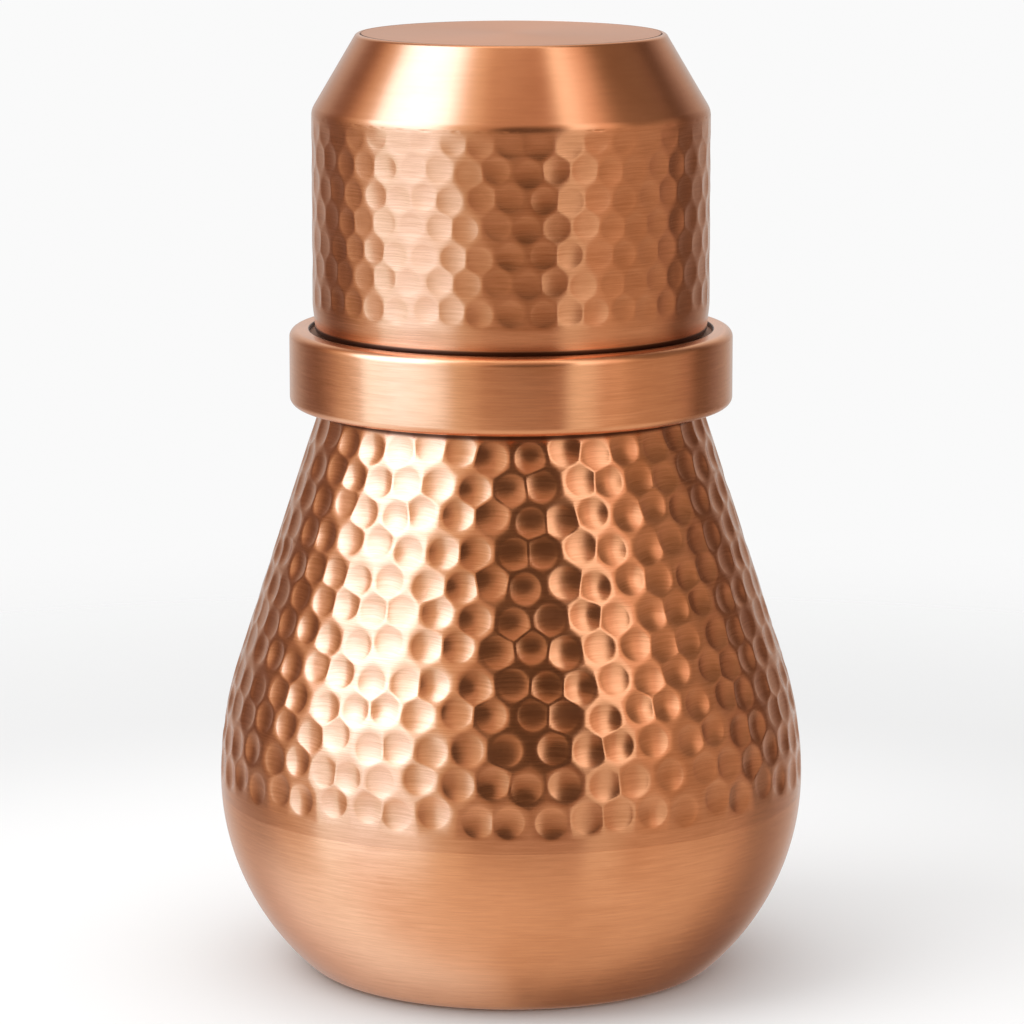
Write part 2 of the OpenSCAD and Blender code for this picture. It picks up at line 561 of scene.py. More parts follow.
def finishes() -> dict[Coat, bpy.types.Material]:
    """Makes every finish once.

    Returns:
        The material of each coat.
    """
    under, over = extent("collar_ring")[1:]
    wall_r, _, crown = extent("tumbler_shell")
    # Painted shade in the crevices: groove darkens the disc's edge by the cone, shade the body just
    # under the collar, mouth the tumbler's foot just above the collar, lips the collar's well and
    # inner lip.
    groove = Crevice(Measure.RADIUS, extent("tumbler_base_disc")[0], -0.0010, -0.0007)
    shade = Crevice(Measure.HEIGHT, under, -0.0021, -0.0012)
    mouth = Crevice(Measure.HEIGHT, over, 0.0010, 0.0005)
    lips = Crevice(Measure.RADIUS, wall_r, 0.0011, 0.0009)
    all_over = Crevice(Measure.RADIUS, 0.0, 0.0, 0.001)
    plain_cone = 0.0165
    hammered = {"bright": (0.80, 0.352, 0.172), "deep": (0.55, 0.212, 0.088)}
    coats = {
        Coat.BODY: CopperFinish(
            "hammered_copper_body",
            **hammered,
            dent_tone=0.15,
            roughness=0.20,
            anisotropy=0.6,
            line_depth=0.000016,
            crevices=(shade,),
        ),
        Coat.BOWL: CopperFinish("brushed_copper_bowl"),
        Coat.COLLAR: CopperFinish("brushed_copper_collar", crevices=(lips,)),
        # Painted shade: the tray is darkened all over, as it lies in the shade between the collar
        # and the tumbler.
        Coat.TRAY: CopperFinish(
            "tarnished_copper_tray",
            painted_shade=(0.50, 0.21, 0.10),
            roughness=0.35,
            crevices=(all_over,),
        ),
        Coat.NECK: CopperFinish("brushed_copper_neck"),
        Coat.TUMBLER: CopperFinish(
            "hammered_copper_tumbler",
            **hammered,
            dent_tone=0.08,
            roughness=0.22,
            anisotropy=0.75,
            line_depth=0.000022,
            smooth_from=crown - plain_cone,
            crevices=(mouth,),
        ),
        Coat.DISC: CopperFinish(
            "fine_satin_copper",
            bright=(0.71, 0.345, 0.195),
            deep=(0.65, 0.295, 0.16),
            roughness=0.40,
            roughness_swing=0.05,
            anisotropy=0.3,
            line_depth=0.000004,
            crevices=(groove,),
        ),
        Coat.WIRE: CopperFinish("drawn_copper_wire", roughness=0.35, anisotropy=0.3),
        Coat.BRAZE: BrazeFinish(),
    }
    return {coat: finish.material() for coat, finish in coats.items()}


# ---------------------------------------------------------------------------------------------
# Outlines and turned meshes
# ---------------------------------------------------------------------------------------------


def linked(name: str, data: bpy.types.ID) -> bpy.types.Object:
    """Makes an object and puts it in the scene.

    Args:
        name: The object's name.
        data: Its mesh, lamp or camera.

    Returns:
        The object.
    """
    made = bpy.data.objects.new(name, data)
    bpy.context.scene.collection.objects.link(made)
    return made


def extent(node: str) -> tuple[float, float, float]:
    """Measures a round node of the frame.

    Args:
        node: The node's name.

    Returns:
        Its radius and the heights of its foot and its top.
    """
    low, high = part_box(node)
    return (high[0] - low[0]) / 2, low[2], high[2]


def around(sides: int) -> list[float]:
    """Gives the angles of a regular ring.

    Args:
        sides: Its number of sides.

    Returns:
        The angles.
    """
    return [TURN * i / sides for i in range(sides)]


def arc(centre: Point, radius: float, start: float, end: float, steps: int = 16) -> list[Point]:
    """Points along an arc.

    Args:
        centre: Its centre.
        radius: Its radius.
        start: The angle where it starts, in degrees.
        end: The angle where it ends, in degrees.
        steps: The number of steps.

    Returns:
        The points, both ends included.
    """
    angles = [math.radians(start + (end - start) * i / steps) for i in range(steps + 1)]
    return [(centre[0] + radius * math.cos(a), centre[1] + radius * math.sin(a)) for a in angles]


def straight(start: Point, end: Point, steps: int) -> list[Point]:
    """Points along a straight line.

    Args:
        start: Where it starts.
        end: Where it ends.
        steps: The number of steps.

    Returns:
        The points, both ends included.
    """
    shares = [i / steps for i in range(steps + 1)]
    return [tuple(a + (b - a) * share for a, b in zip(start, end)) for share in shares]


def eased(outline: list[Point], corner: int, size: float, steps: int = 4) -> list[Point]:
    """Rounds one corner of an outline.

    Args:
        outline: The points.
        corner: The number of the corner's point.
        size: How far from the corner the round starts.
        steps: The number of steps in the round.

    Returns:
        The outline with points along the round in the corner's place.
    """
    before, here, after = (np.array(outline[corner + i]) for i in (-1, 0, 1))
    first = here + (before - here) * size / np.linalg.norm(before - here)
    last = here + (after - here) * size / np.linalg.norm(after - here)
    shares = [i / steps for i in range(steps + 1)]
    curve = [(1 - t) ** 2 * first + 2 * t * (1 - t) * here + t * t * last for t in shares]
    return outline[:corner] + [tuple(p) for p in curve] + outline[corner + 1 :]


@dataclass
class Ring:
    """A closed row of points round the axis, or a single point on it."""

    first: int
    angles: list[float]


class TurnedMesh:
    """A mesh built of rings about the Z axis."""

    def __init__(self) -> None:
        """Starts with no points."""
        self.points: list[tuple[float, float, float]] = []
        self.faces: list[tuple[int, ...]] = []
        self.struck: list[float] = []

    def ring(self, radius: float, height: float, angles: list[float], struck: float = 0.0) -> Ring:
        """Adds a ring.

        Args:
            radius: Its radius; at 0 it becomes a single point.
            height: Its height.
            angles: Where its points stand, in rising order within one turn.
            struck: Whether the hammer reaches its points, 1 or 0.

        Returns:
            The ring.
        """
        made = Ring(len(self.points), angles if radius > 0 else [0.0])
        for angle in made.angles:
            self.points.append((radius * math.cos(angle), radius * math.sin(angle), height))
            self.struck.append(struck)
        return made

    def join(self, here: Ring, there: Ring) -> None:
        """Fills the band from one ring to the next along the outline.

        Args:
            here: The ring that the outline leaves.
            there: The ring that it comes to.
        """
        many, few = len(here.angles), len(there.angles)
        if many == 1 and few == 1:
            return
        i = j = 0
        while i < many or j < few:
            ahead, beyond = self.next_angle(here, i), self.next_angle(there, j)
            at, to = here.first + i % many, there.first + j % few
            step_here = many > 1 and i < many and (ahead <= beyond + 1e-9 or j >= few)
            step_there = few > 1 and j < few and (beyond <= ahead + 1e-9 or i >= many)
            onward, across = here.first + (i + 1) % many, there.first + (j + 1) % few
            if step_here and step_there:
                self.faces.append((at, onward, across, to))
            elif step_here:
                self.faces.append((at, onward, to))
            else:
                self.faces.append((at, across, to))
            i += int(step_here)
            j += int(step_there)
            if (many == 1 and j >= few) or (few == 1 and i >= many):
                break

    @staticmethod
    def next_angle(ring: Ring, passed: int) -> float:
        """Gives the angle of a ring's next point.

        Args:
            ring: The ring.
            passed: How many of its points have been passed.

        Returns:
            The angle, or infinity for a single point.
        """
        count = len(ring.angles)
        if count == 1:
            return math.inf
        return ring.angles[(passed + 1) % count] + TURN * ((passed + 1) // count)

    def chain(self, rings: list[Ring]) -> None:
        """Joins each ring to the next.

        Args:
            rings: The rings, in the order of the outline.
        """
        for here, there in zip(rings, rings[1:]):
            self.join(here, there)

    def rings(self, outline: list[Point], angles: list[float]) -> list[Ring]:
        """Adds a ring at each point of an outline.

        Args:
            outline: The points.
            angles: Where each ring's points stand.

        Returns:
            The rings.
        """
        return [self.ring(r, z, angles) for r, z in outline]

    def patch(self, points: np.ndarray, faces: list[tuple[int, ...]], struck: list[float]) -> None:
        """Adds a piece of struck skin.

        Args:
            points: Its points.
            faces: Its faces, numbered from its own first point.
            struck: How fully the hammer's dent is kept at each point, 0 to 1.
        """
        start = len(self.points)
        self.points.extend(map(tuple, points.tolist()))
        self.struck.extend(struck)
        self.faces.extend(tuple(start + i for i in face) for face in faces)

    def finish(self, name: str) -> bpy.types.Object:
        """Makes the object, with its seams merged and its sharp corners marked.

        Args:
            name: The object's name.

        Returns:
            The object, linked to the scene.
        """
        mesh = bpy.data.meshes.new(name)
        mesh.from_pydata(self.points, [], self.faces)
        mesh.attributes.new("struck", "FLOAT", "POINT").data.foreach_set("value", self.struck)
        work = bmesh.new()
        work.from_mesh(mesh)
        bmesh.ops.remove_doubles(work, verts=work.verts, dist=MERGE_DISTANCE)
        bmesh.ops.dissolve_degenerate(work, edges=work.edges, dist=SLIVER_EDGE)
        work.to_mesh(mesh)
        work.free()
        mesh.shade_smooth()
        mesh.set_sharp_from_angle(angle=SHARP_ANGLE)
        return linked(name, mesh)


def turned(name: str, outline: list[Point], closed: bool = True) -> bpy.types.Object:
    """Makes a piece by turning an outline about the axis.

    Args:
        name: The piece's name.
        outline: The points, anticlockwise round the metal.
        closed: Whether the last point is joined to the first; if not, both lie on the axis.

    Returns:
        The piece.
    """
    mesh = TurnedMesh()
    rings = mesh.rings(outline, around(ROUND_SIDES))
    mesh.chain(rings + rings[:1] if closed else rings)
    return mesh.finish(name)


class SkinLine:
    """An outline measured by its length and by its stretch.

    The stretch is the sum of each short length over its radius. With the angle drawn against the
    stretch, a small circle on the turned surface is still a circle.
    """

    def __init__(self, points: list[Point]) -> None:
        """Measures an outline.

        Args:
            points: Its points, close together, from its foot upwards.
        """
        self.points = np.array(points)
        steps = np.hypot(*np.diff(self.points, axis=0).T)
        radii = (self.points[1:, 0] + self.points[:-1, 0]) / 2
        self.length = np.concatenate(([0.0], np.cumsum(steps)))
        self.stretch = np.concatenate(([0.0], np.cumsum(steps / radii)))

    def stretch_at(self, length: float) -> float:
        """Gives the stretch at a length along the outline."""
        return float(np.interp(length, self.length, self.stretch))

    def radius_at(self, stretch: float | np.ndarray) -> float | np.ndarray:
        """Gives the radius at a stretch."""
        return np.interp(stretch, self.stretch, self.points[:, 0])

    def place(self, flat: np.ndarray) -> np.ndarray:
        """Wraps flat points round the axis.

        Args:
            flat: Points of angle and stretch.

        Returns:
            The points in space.
        """
        radius = self.radius_at(flat[:, 1])
        height = np.interp(flat[:, 1], self.stretch, self.points[:, 1])
        return np.column_stack((radius * np.cos(flat[:, 0]), radius * np.sin(flat[:, 0]), height))


# ---------------------------------------------------------------------------------------------
# Hammering
# ---------------------------------------------------------------------------------------------


@dataclass(frozen=True)
class Hammering:
    """Rows of blows round a turned skin, each leaving a shallow round dent."""

    rows: int
    first: float
    pitch: float
    spacing_low: float
    spacing_high: float
    dent: float
    depth: float
    wander: float = 0.07
    uneven: float = 0.30
    seed: int = 7
    facet: float = 0.00088
    ridge_share: float = 0.12
    wrap: float = 0.6
    fade: float = 0.0
    ring_shares: tuple[float, ...] = (0.32, 0.62, 0.86, 1.0)

    def blows(self, line: SkinLine) -> list[list[Point]]:
        """Places the blows.

        Args:
            line: The skin's outline.

        Returns:
            Each row's blows, as points of angle and stretch.
        """
        chance = random.Random(self.seed)
        rows = []
        for row in range(self.rows):
            length = self.first + row * self.pitch
            share = row / (self.rows - 1)
            spacing = self.spacing_low + (self.spacing_high - self.spacing_low) * share
            radius = float(line.radius_at(line.stretch_at(length)))
            count = round(TURN * radius / spacing)
            placed = []
            for blow in range(count):
                angle = -TURN / 4 + (blow + row % 2 / 2) * TURN / count
                angle += chance.uniform(-1, 1) * self.wander * spacing / radius
                wobble = chance.uniform(-1, 1) * self.wander * self.pitch
                placed.append((angle % TURN, line.stretch_at(length + wobble)))
            rows.append(placed)
        return rows

    def cells(self, rows: list[list[Point]], low: float, high: float) -> list[list[Point]]:
        """Finds the part of the skin that is nearest to each blow.

        Blows reflected in the zone's two edges make the cells end there in a straight line.

        Args:
            rows: The blows, row by row.
            low: The stretch at the zone's lower edge.
            high: The stretch at the zone's upper edge.

        Returns:
            The corners of each blow's cell, anticlockwise.
        """
        real = [point for row in rows for point in row]
        mirrored = [(a, 2 * low - w) for row in rows[:2] for a, w in row]
        mirrored += [(a, 2 * high - w) for row in rows[-2:] for a, w in row]
        flat = [Vector(point) for point in real + mirrored]
        for a, w in real + mirrored:
            if a > TURN - self.wrap:
                flat.append(Vector((a - TURN, w)))
            if a < self.wrap:
                flat.append(Vector((a + TURN, w)))
        points, _, triangles, origins, _, _ = delaunay_2d_cdt(flat, [], [], 0, 1e-9)
        corners: list[list[Point]] = [[] for _ in real]
        for triangle in triangles:
            centre = self.circumcentre(*(points[i] for i in triangle))
            for vertex in triangle:
                for origin in origins[vertex]:
                    if origin < len(real):
                        corners[origin].append(centre)
        for (a, w), around_it in zip(real, corners):
            around_it.sort(key=lambda p: math.atan2(p[1] - w, p[0] - a))
        return corners

    @staticmethod
    def circumcentre(a: Vector, b: Vector, c: Vector) -> Point:
        """Finds the point at the same distance from three others.

        Args:
            a: The first point.
            b: The second point.
            c: The third point.

        Returns:
            The point.
        """
        ab, ac = b - a, c - a
        twice = 2 * (ab.x * ac.y - ab.y * ac.x)
        up, across = ab.length_squared, ac.length_squared
        return (
            a.x + (ac.y * up - ab.y * across) / twice,
            a.y + (ab.x * across - ac.x * up) / twice,
        )

    def skin(self, mesh: TurnedMesh, line: SkinLine) -> tuple[Ring, Ring, np.ndarray]:
        """Adds smooth skin whose facets follow the edges of the dents to come.

        Args:
            mesh: The mesh to add to.
            line: The outline of the hammered zone.

        Returns:
            The rings of its lower edge and of its upper edge, and the blows in space.
        """
        rows = self.blows(line)
        levels = (0.0, float(line.stretch[-1]))
        real = [point for row in rows for point in row]
        edges: list[list[float]] = [[], []]
        for middle, corners in zip(real, self.cells(rows, *levels)):
            centre = np.array(middle)
            border: list[np.ndarray] = []
            for here, there in zip(corners, corners[1:] + corners[:1]):
                start, end = np.array(here), np.array(there)
                scale = float(line.radius_at((start[1] + end[1]) / 2))
                length = float(np.linalg.norm(end - start)) * scale
                parts = max(1, round(length / self.facet + 1e-6))
                border.extend(start + (end - start) * i / parts for i in range(parts))
            rim = np.array(border)
            rim[:, 1] = np.clip(rim[:, 1], *levels)
            for edge, level in zip(edges, levels):
                on_edge = rim[np.abs(rim[:, 1] - level) < ON_EDGE]
                edge.extend((on_edge[:, 0] % TURN).tolist())
            reach = np.linalg.norm(rim - centre, axis=1) * float(line.radius_at(centre[1]))
            dished = (np.minimum(reach * (1 - self.ridge_share), self.dent) / reach)[:, None]
            rings = [centre + (rim - centre) * (share * dished) for share in self.ring_shares]
            flat = np.vstack([centre[None, :], *rings, rim])
            struck = self.strength(line, flat[:, 1])
            mesh.patch(line.place(flat), self.spokes(len(rim), len(rings) + 1), struck)
        low, high = (
            mesh.ring(*line.points[end].tolist(), self.distinct(edge), 1.0)
            for end, edge in zip((0, -1), edges)
        )
        return low, high, line.place(np.array(real))

    def strength(self, line: SkinLine, stretch: np.ndarray) -> list[float]:
        """Gives how fully the dents are kept, less where later brushing has worn them down.

        Args:
            line: The outline of the hammered zone.
            stretch: The stretch of each point.

        Returns:
            Each point's share, 1 away from the zone's upper edge.
        """
        if not self.fade:
            return [1.0] * len(stretch)
        below = line.length[-1] - np.interp(stretch, line.stretch, line.length)
        return np.clip(below / self.fade, 0.0, 1.0).tolist()

    @staticmethod
    def spokes(sides: int, rings: int) -> list[tuple[int, ...]]:
        """Faces of a disc made of rings round a middle point.

        Args:
            sides: The number of points in each ring.
            rings: The number of rings.

        Returns:
            The faces; the middle is point 0 and the first ring starts at point 1.
        """
        faces: list[tuple[int, ...]] = []
        for i in range(sides):
            j = (i + 1) % sides
            faces.append((0, 1 + i, 1 + j))
            for ring in range(rings - 1):
                inner, outer = 1 + ring * sides, 1 + (ring + 1) * sides
                faces.append((inner + i, outer + i, outer + j, inner + j))
        return faces

    @staticmethod
    def distinct(angles: list[float]) -> list[float]:
        """Sorts angles and drops the repeated ones.

        Args:
            angles: Angles within one turn.

        Returns:
            The angles in rising order.
        """
        kept: list[float] = []
        for angle in sorted(angles):
            if not kept or angle - kept[-1] > SAME_ANGLE:
                kept.append(angle)
        if TURN - kept[-1] + kept[0] < SAME_ANGLE:
            kept.pop()
        return kept

    def strike(
        self, piece: bpy.types.Object, blows: np.ndarray, finish: bpy.types.Material
    ) -> bpy.types.Object:
        """Sinks a dent under every blow with Geometry Nodes.

        Args:
            piece: The smooth piece.
            blows: The blows in space.
            finish: The finish that the tree sets.

        Returns:
            A plain mesh object with the dents in it; the smooth piece is removed.
        """
        marks = bpy.data.meshes.new("blows")
        marks.from_pydata(blows.tolist(), [], [])
        marker = linked("blows", marks)
        given = {
            "Blows": ("NodeSocketObject", marker),
            "Dent radius": ("NodeSocketFloat", self.dent),
            "Dent depth": ("NodeSocketFloat", self.depth),
            "Unevenness": ("NodeSocketFloat", self.uneven),
            "Seed": ("NodeSocketInt", self.seed),
            "Finish": ("NodeSocketMaterial", finish),
        }
        tree = bpy.data.node_groups.new("hammering", "GeometryNodeTree")
        geometry = {"socket_type": "NodeSocketGeometry"}
        tree.interface.new_socket("Geometry", in_out="INPUT", **geometry)
        modifier = piece.modifiers.new("hammering", "NODES")
        keys = {
            name: tree.interface.new_socket(name, in_out="INPUT", socket_type=kind).identifier
            for name, (kind, _) in given.items()
        }
        tree.interface.new_socket("Geometry", in_out="OUTPUT", **geometry)
        self.fill(NodeSheet(tree), list(given))
        modifier.node_group = tree
        for name, (_, value) in given.items():
            modifier[keys[name]] = value
        bpy.context.view_layer.update()
        ready = piece.evaluated_get(bpy.context.evaluated_depsgraph_get())
        mesh, name = bpy.data.meshes.new_from_object(ready), piece.name
        piece.modifiers.remove(modifier)
        for used in (piece, marker):
            data = used.data
            bpy.data.objects.remove(used)
            bpy.data.meshes.remove(data)
        mesh.name = name
        return linked(name, mesh)

    @staticmethod
    def fill(sheet: NodeSheet, names: list[str]) -> None:
        """Fills the tree that sinks the dents.

        Args:
            sheet: The tree's sheet.
            names: The names of its inputs after the geometry.
        """
        entry = sheet.node("NodeGroupInput")
        wire = {name: Wire(sheet, entry.outputs[name]) for name in ("Geometry", *names)}
        shape = sheet.out("GeometryNodeObjectInfo", None, {"Object": wire["Blows"]}, "Geometry")
        here = sheet.out("GeometryNodeInputPosition")
        sampled = {"Geometry": shape, "Sample Position": here}
        nearest = sheet.out("GeometryNodeSampleNearest", None, sampled)
        centre = sheet.out(
            "GeometryNodeSampleIndex",
            {"data_type": "FLOAT_VECTOR"},
            {"Geometry": shape, "Value": here, "Index": nearest},
        )
        distance = {"operation": "DISTANCE"}
        apart = sheet.out("ShaderNodeVectorMath", distance, {0: here, 1: centre}, "Value")
        ratio = apart / wire["Dent radius"]
        dish = (1 - ratio * ratio).math("MAXIMUM", 0.0)
        number = {"data_type": "FLOAT"}
        drawn = {"ID": nearest, "Seed": wire["Seed"]}
        luck = sheet.out("FunctionNodeRandomValue", number, drawn, 1)
        swing = (luck * 2 - 1) * wire["Unevenness"]
        struck = sheet.out("GeometryNodeInputNamedAttribute", number, {"Name": "struck"})
        dent = dish * struck
        sink = dent * wire["Dent depth"] * (1 + swing * dish)
        inward = sheet.out(
            "ShaderNodeVectorMath",
            {"operation": "SCALE"},
            {0: sheet.out("GeometryNodeInputNormal"), "Scale": 0 - sink},
        )
        kept = sheet.out(
            "GeometryNodeStoreNamedAttribute",
            {"data_type": "FLOAT", "domain": "POINT"},
            {"Geometry": wire["Geometry"], "Name": "dent", "Value": dent},
        )
        sunk = sheet.out("GeometryNodeSetPosition", None, {"Geometry": kept, "Offset": inward})
        real = sheet.out("GeometryNodeRealizeInstances", None, {"Geometry": sunk})
        painted = {"Geometry": real, "Material": wire["Finish"]}
        dressed = sheet.out("GeometryNodeSetMaterial", None, painted)
        sheet.node("NodeGroupOutput", None, {"Geometry": dressed})


# ---------------------------------------------------------------------------------------------
# Sub-assemblies
# ---------------------------------------------------------------------------------------------


def dress(
    piece: bpy.types.Object,
    coats: dict[Coat, bpy.types.Material],
    coat: Coat,
    body: Body,
    node: str,
) -> None:
    """Gives a piece its finish and its place in the frame.

    Args:
        piece: The piece.
        coats: The materials.
        coat: The piece's own finish.
        body: The body that it rides on.
        node: The frame's node that it stands for.
    """
    piece.data.materials.clear()
    piece.data.materials.append(coats[coat])
    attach(piece, body.value)
    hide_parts(node)
    piece.data.calc_loop_triangles()
    log.info("%s: %d triangles on %s", piece.name, len(piece.data.loop_triangles), body.value)


@dataclass
class Vessel:
    """The bottle's body: a smooth spun bowl brazed to a hammered shoulder."""

    belly_z: float = 0.0416
    belly_r: float = 0.0794
    foot_r: float = 0.040
    foot_round: float = 0.0067
    foot_ring_w: float = 0.005
    foot_ring_ease: float = 0.0006
    push_up: float = 0.0015
    push_slope: float = 45.0
    sheet_t: float = 0.0007
    braze_gap: float = 0.0001
    joggle_h: float = 0.0025
    lap_h: float = 0.006
    throat_r: float = 0.0404
    throat_z: float = 0.1218
    ledge_z: float = 0.1266
    ledge_round: float = 0.0026
    socket_r: float = 0.0341
    socket_round: float = 0.0018
    zone_z: float = 0.0413
    zone_inset: float = 0.0002
    zone_gap: float = 0.0003
    seam_ease: float = 0.00001
    hammering: Hammering = Hammering(
        rows=12,
        first=0.0046,
        pitch=0.0068,
        spacing_low=0.0078,
        spacing_high=0.0071,
        dent=0.00358,
        depth=0.00050,
        wander=0.15,
        uneven=0.34,
    )

    def __post_init__(self) -> None:
        """Takes the overall sizes from the frame and works out the outline's arcs."""
        self.max_r, self.seam_z, self.seat_z = extent("shoulder_shell")
        step, up = self.foot_r - self.max_r, self.belly_z - self.foot_round
        bowl_r = (step * step + up * up - self.foot_round**2) / (-2 * (step + self.foot_round))
        self.bowl_r, self.bowl_c = bowl_r, (self.max_r - bowl_r, self.belly_z)
        self.foot_c = (self.foot_r, self.foot_round)
        across, rise = (foot - bowl for foot, bowl in zip(self.foot_c, self.bowl_c))
        self.foot_angle = math.degrees(math.atan2(rise, across))
        self.belly_c = (self.max_r - self.belly_r, self.belly_z)
        run, rise = self.throat_r - self.belly_c[0], self.throat_z - self.belly_z
        lean = math.acos(self.belly_r / math.hypot(run, rise))
        self.flank = math.degrees(math.atan2(rise, run) - lean)
        self.seam_r = self.bowl_c[0] + bowl_r * math.cos(math.radians(self.bowl_angle(self.seam_z)))

    def bowl_angle(self, height: float, inset: float = 0.0) -> float:
        """Gives the angle on the bowl's arc at a height.

        Args:
            height: The height.
            inset: How far the arc is sunk into the metal.

        Returns:
            The angle in degrees.
        """
        return math.degrees(math.asin((height - self.belly_z) / (self.bowl_r - inset)))

    def shoulder_bends(self, inset: float) -> list[Point]:
        """Draws the bends that the collar hides, up to the top of the socket.

        Args:
            inset: How far the line is sunk into the metal.

        Returns:
            The points from the end of the flank upwards.
        """
        slope = math.radians(self.flank)
        centre_z = self.ledge_z - self.ledge_round
        reach = self.ledge_round + math.sin(slope) * (centre_z - self.throat_z)
        ledge_c = (self.throat_r - reach / math.cos(slope), centre_z)
        socket_c = (self.socket_r + self.socket_round, self.ledge_z + self.socket_round)
        return (
            arc(ledge_c, self.ledge_round - inset, self.flank, 90, 10)
            + arc(socket_c, self.socket_round + inset, 270, 180, 10)
            + [(self.socket_r - inset, self.seat_z)]
        )

    def bowl(self) -> bpy.types.Object:
        """Makes the smooth bowl with its pushed-up base and its lap.

        Returns:
            The bowl.
        """
        t, lap_r = self.sheet_t, self.max_r - self.sheet_t - self.braze_gap
        lap_z, step_z = self.seam_z + self.lap_h, self.seam_z - self.joggle_h
        ring_r, round_it = self.foot_r - self.foot_ring_w, self.foot_ring_ease
        lean = t * math.tan(math.radians(self.push_slope / 2))
        below_seam = self.bowl_angle(self.seam_z - self.seam_ease)
        under = [(0.0, self.push_up), (ring_r - self.push_up, self.push_up)]
        under += [(ring_r, 0.0), (self.foot_r, 0.0)]
        outline = eased(eased(under, 2, round_it), 1, round_it)[:-1]
        outline += arc(self.foot_c, self.foot_round, -90, self.foot_angle, 20)
        outline += arc(self.bowl_c, self.bowl_r, self.foot_angle, below_seam, 56)[1:]
        outline += [(self.seam_r - self.seam_ease, self.seam_z), (lap_r, self.seam_z)]
        outline += [(lap_r, lap_z), (lap_r - t, lap_z), (lap_r - t, step_z)]
        step_angle = self.bowl_angle(step_z, t)
        outline += arc(self.bowl_c, self.bowl_r - t, step_angle, self.foot_angle, 40)
        outline += arc(self.foot_c, self.foot_round - t, self.foot_angle, -90, 12)
        outline += [(ring_r + lean, t), (ring_r - self.push_up + lean, self.push_up + t)]
        outline += [(0.0, self.push_up + t)]
        return turned("bowl", outline, closed=False)

    def shoulder(self, finish: bpy.types.Material) -> bpy.types.Object:
        """Makes the hammered shoulder.

        Args:
            finish: The hammered finish.

        Returns:
            The shoulder.
        """
        t, ease = self.sheet_t, self.seam_ease
        zone = arc(self.bowl_c, self.bowl_r, self.bowl_angle(self.zone_z), 0, 4)
        zone += arc(self.belly_c, self.belly_r, 0, self.flank, 90)[1:]
        throat = (self.throat_r, self.throat_z - self.zone_inset)
        zone += straight(zone[-1], throat, 40)[1:]
        mesh = TurnedMesh()
        low, high, blows = self.hammering.skin(mesh, SkinLine(zone))

        above_seam = self.bowl_angle(self.seam_z + ease)
        below_zone = self.bowl_angle(self.zone_z - self.zone_gap)
        plain = [(self.seam_r - t, self.seam_z), (self.seam_r - ease, self.seam_z)]
        plain += arc(self.bowl_c, self.bowl_r, above_seam, below_zone, 6)
        foot = mesh.rings(plain, around(ROUND_SIDES))
        inner = arc(self.belly_c, self.belly_r - t, 0, self.flank, 24) + self.shoulder_bends(t)
        hidden = [(self.throat_r, self.throat_z)] + self.shoulder_bends(0.0) + inner[::-1]
        mesh.chain([*foot, low])
        mesh.chain([high, *mesh.rings(hidden, around(HIDDEN_SIDES)), foot[0]])
        return self.hammering.strike(mesh.finish("shoulder"), blows, finish)

    def build(self, coats: dict[Coat, bpy.types.Material]) -> None:
        """Makes and dresses both pieces.

        Args:
            coats: The finishes.
        """
        dress(self.bowl(), coats, Coat.BOWL, Body.BOTTLE, "lower_bowl")
        shoulder = self.shoulder(coats[Coat.BODY])
        dress(shoulder, coats, Coat.BODY, Body.BOTTLE, "shoulder_shell")


@dataclass
class Collar:
    """The broad plain collar and the tray under it that carries the tumbler."""

    collar_t: float = 0.001
    collar_round: float = 0.0017
    well_r: float = 0.0427
    throat_r: float = 0.0404
    flank: float = 17.93
    edge_ease: float = 0.0003
    seat_t: float = 0.0008
    seat_edge_gap: float = 0.0001
    socket_r: float = 0.0341
    skirt_z: float = 0.1304
    skirt_round: float = 0.0005

    def __post_init__(self) -> None:
        """Takes the overall sizes from the frame."""
        self.radius, self.low_z, self.top_z = extent("collar_ring")
        self.seat_z = self.top_z - self.collar_t

    def ring(self) -> bpy.types.Object:
        """Makes the collar.

        Returns:
            The collar.
        """
        big, small = self.collar_round, self.collar_round - self.collar_t
        top_c = (self.radius - big, self.top_z - big)
        low_c = (self.radius - big, self.low_z + big)
        under_r = self.throat_r - self.collar_t * math.tan(math.radians(self.flank))
        outline = [(under_r, self.low_z + self.collar_t), (self.throat_r, self.low_z)]
        outline += arc(low_c, big, -90, 0, 12) + arc(top_c, big, 0, 90, 12)
        lip = len(outline)
        outline += [(self.well_r, self.top_z), (self.well_r, self.seat_z)]
        outline += arc(top_c, small, 90, 0, 6) + arc(low_c, small, 0, -90, 6)
        outline = eased(eased(outline, lip, self.edge_ease), 1, self.edge_ease / 2)
        return turned("collar", outline)

    def tray(self) -> bpy.types.Object:
        """Makes the seat tray with its skirt.

        Returns:
            The tray.
        """
        edge_r = self.radius - self.collar_round - self.seat_edge_gap
        skirt_r, under_z = self.socket_r + self.seat_t, self.seat_z - self.seat_t
        outline = [(self.socket_r, self.skirt_z), (skirt_r, self.skirt_z), (skirt_r, under_z)]
        outline += [(edge_r, under_z), (edge_r, self.seat_z), (self.socket_r, self.seat_z)]
        return turned("tray", eased(outline, 2, self.skirt_round))

    def build(self, coats: dict[Coat, bpy.types.Material]) -> None:
        """Makes and dresses both pieces.

        Args:
            coats: The finishes.
        """
        dress(self.ring(), coats, Coat.COLLAR, Body.BOTTLE, "collar_ring")
        dress(self.tray(), coats, Coat.TRAY, Body.BOTTLE, "seat_tray")


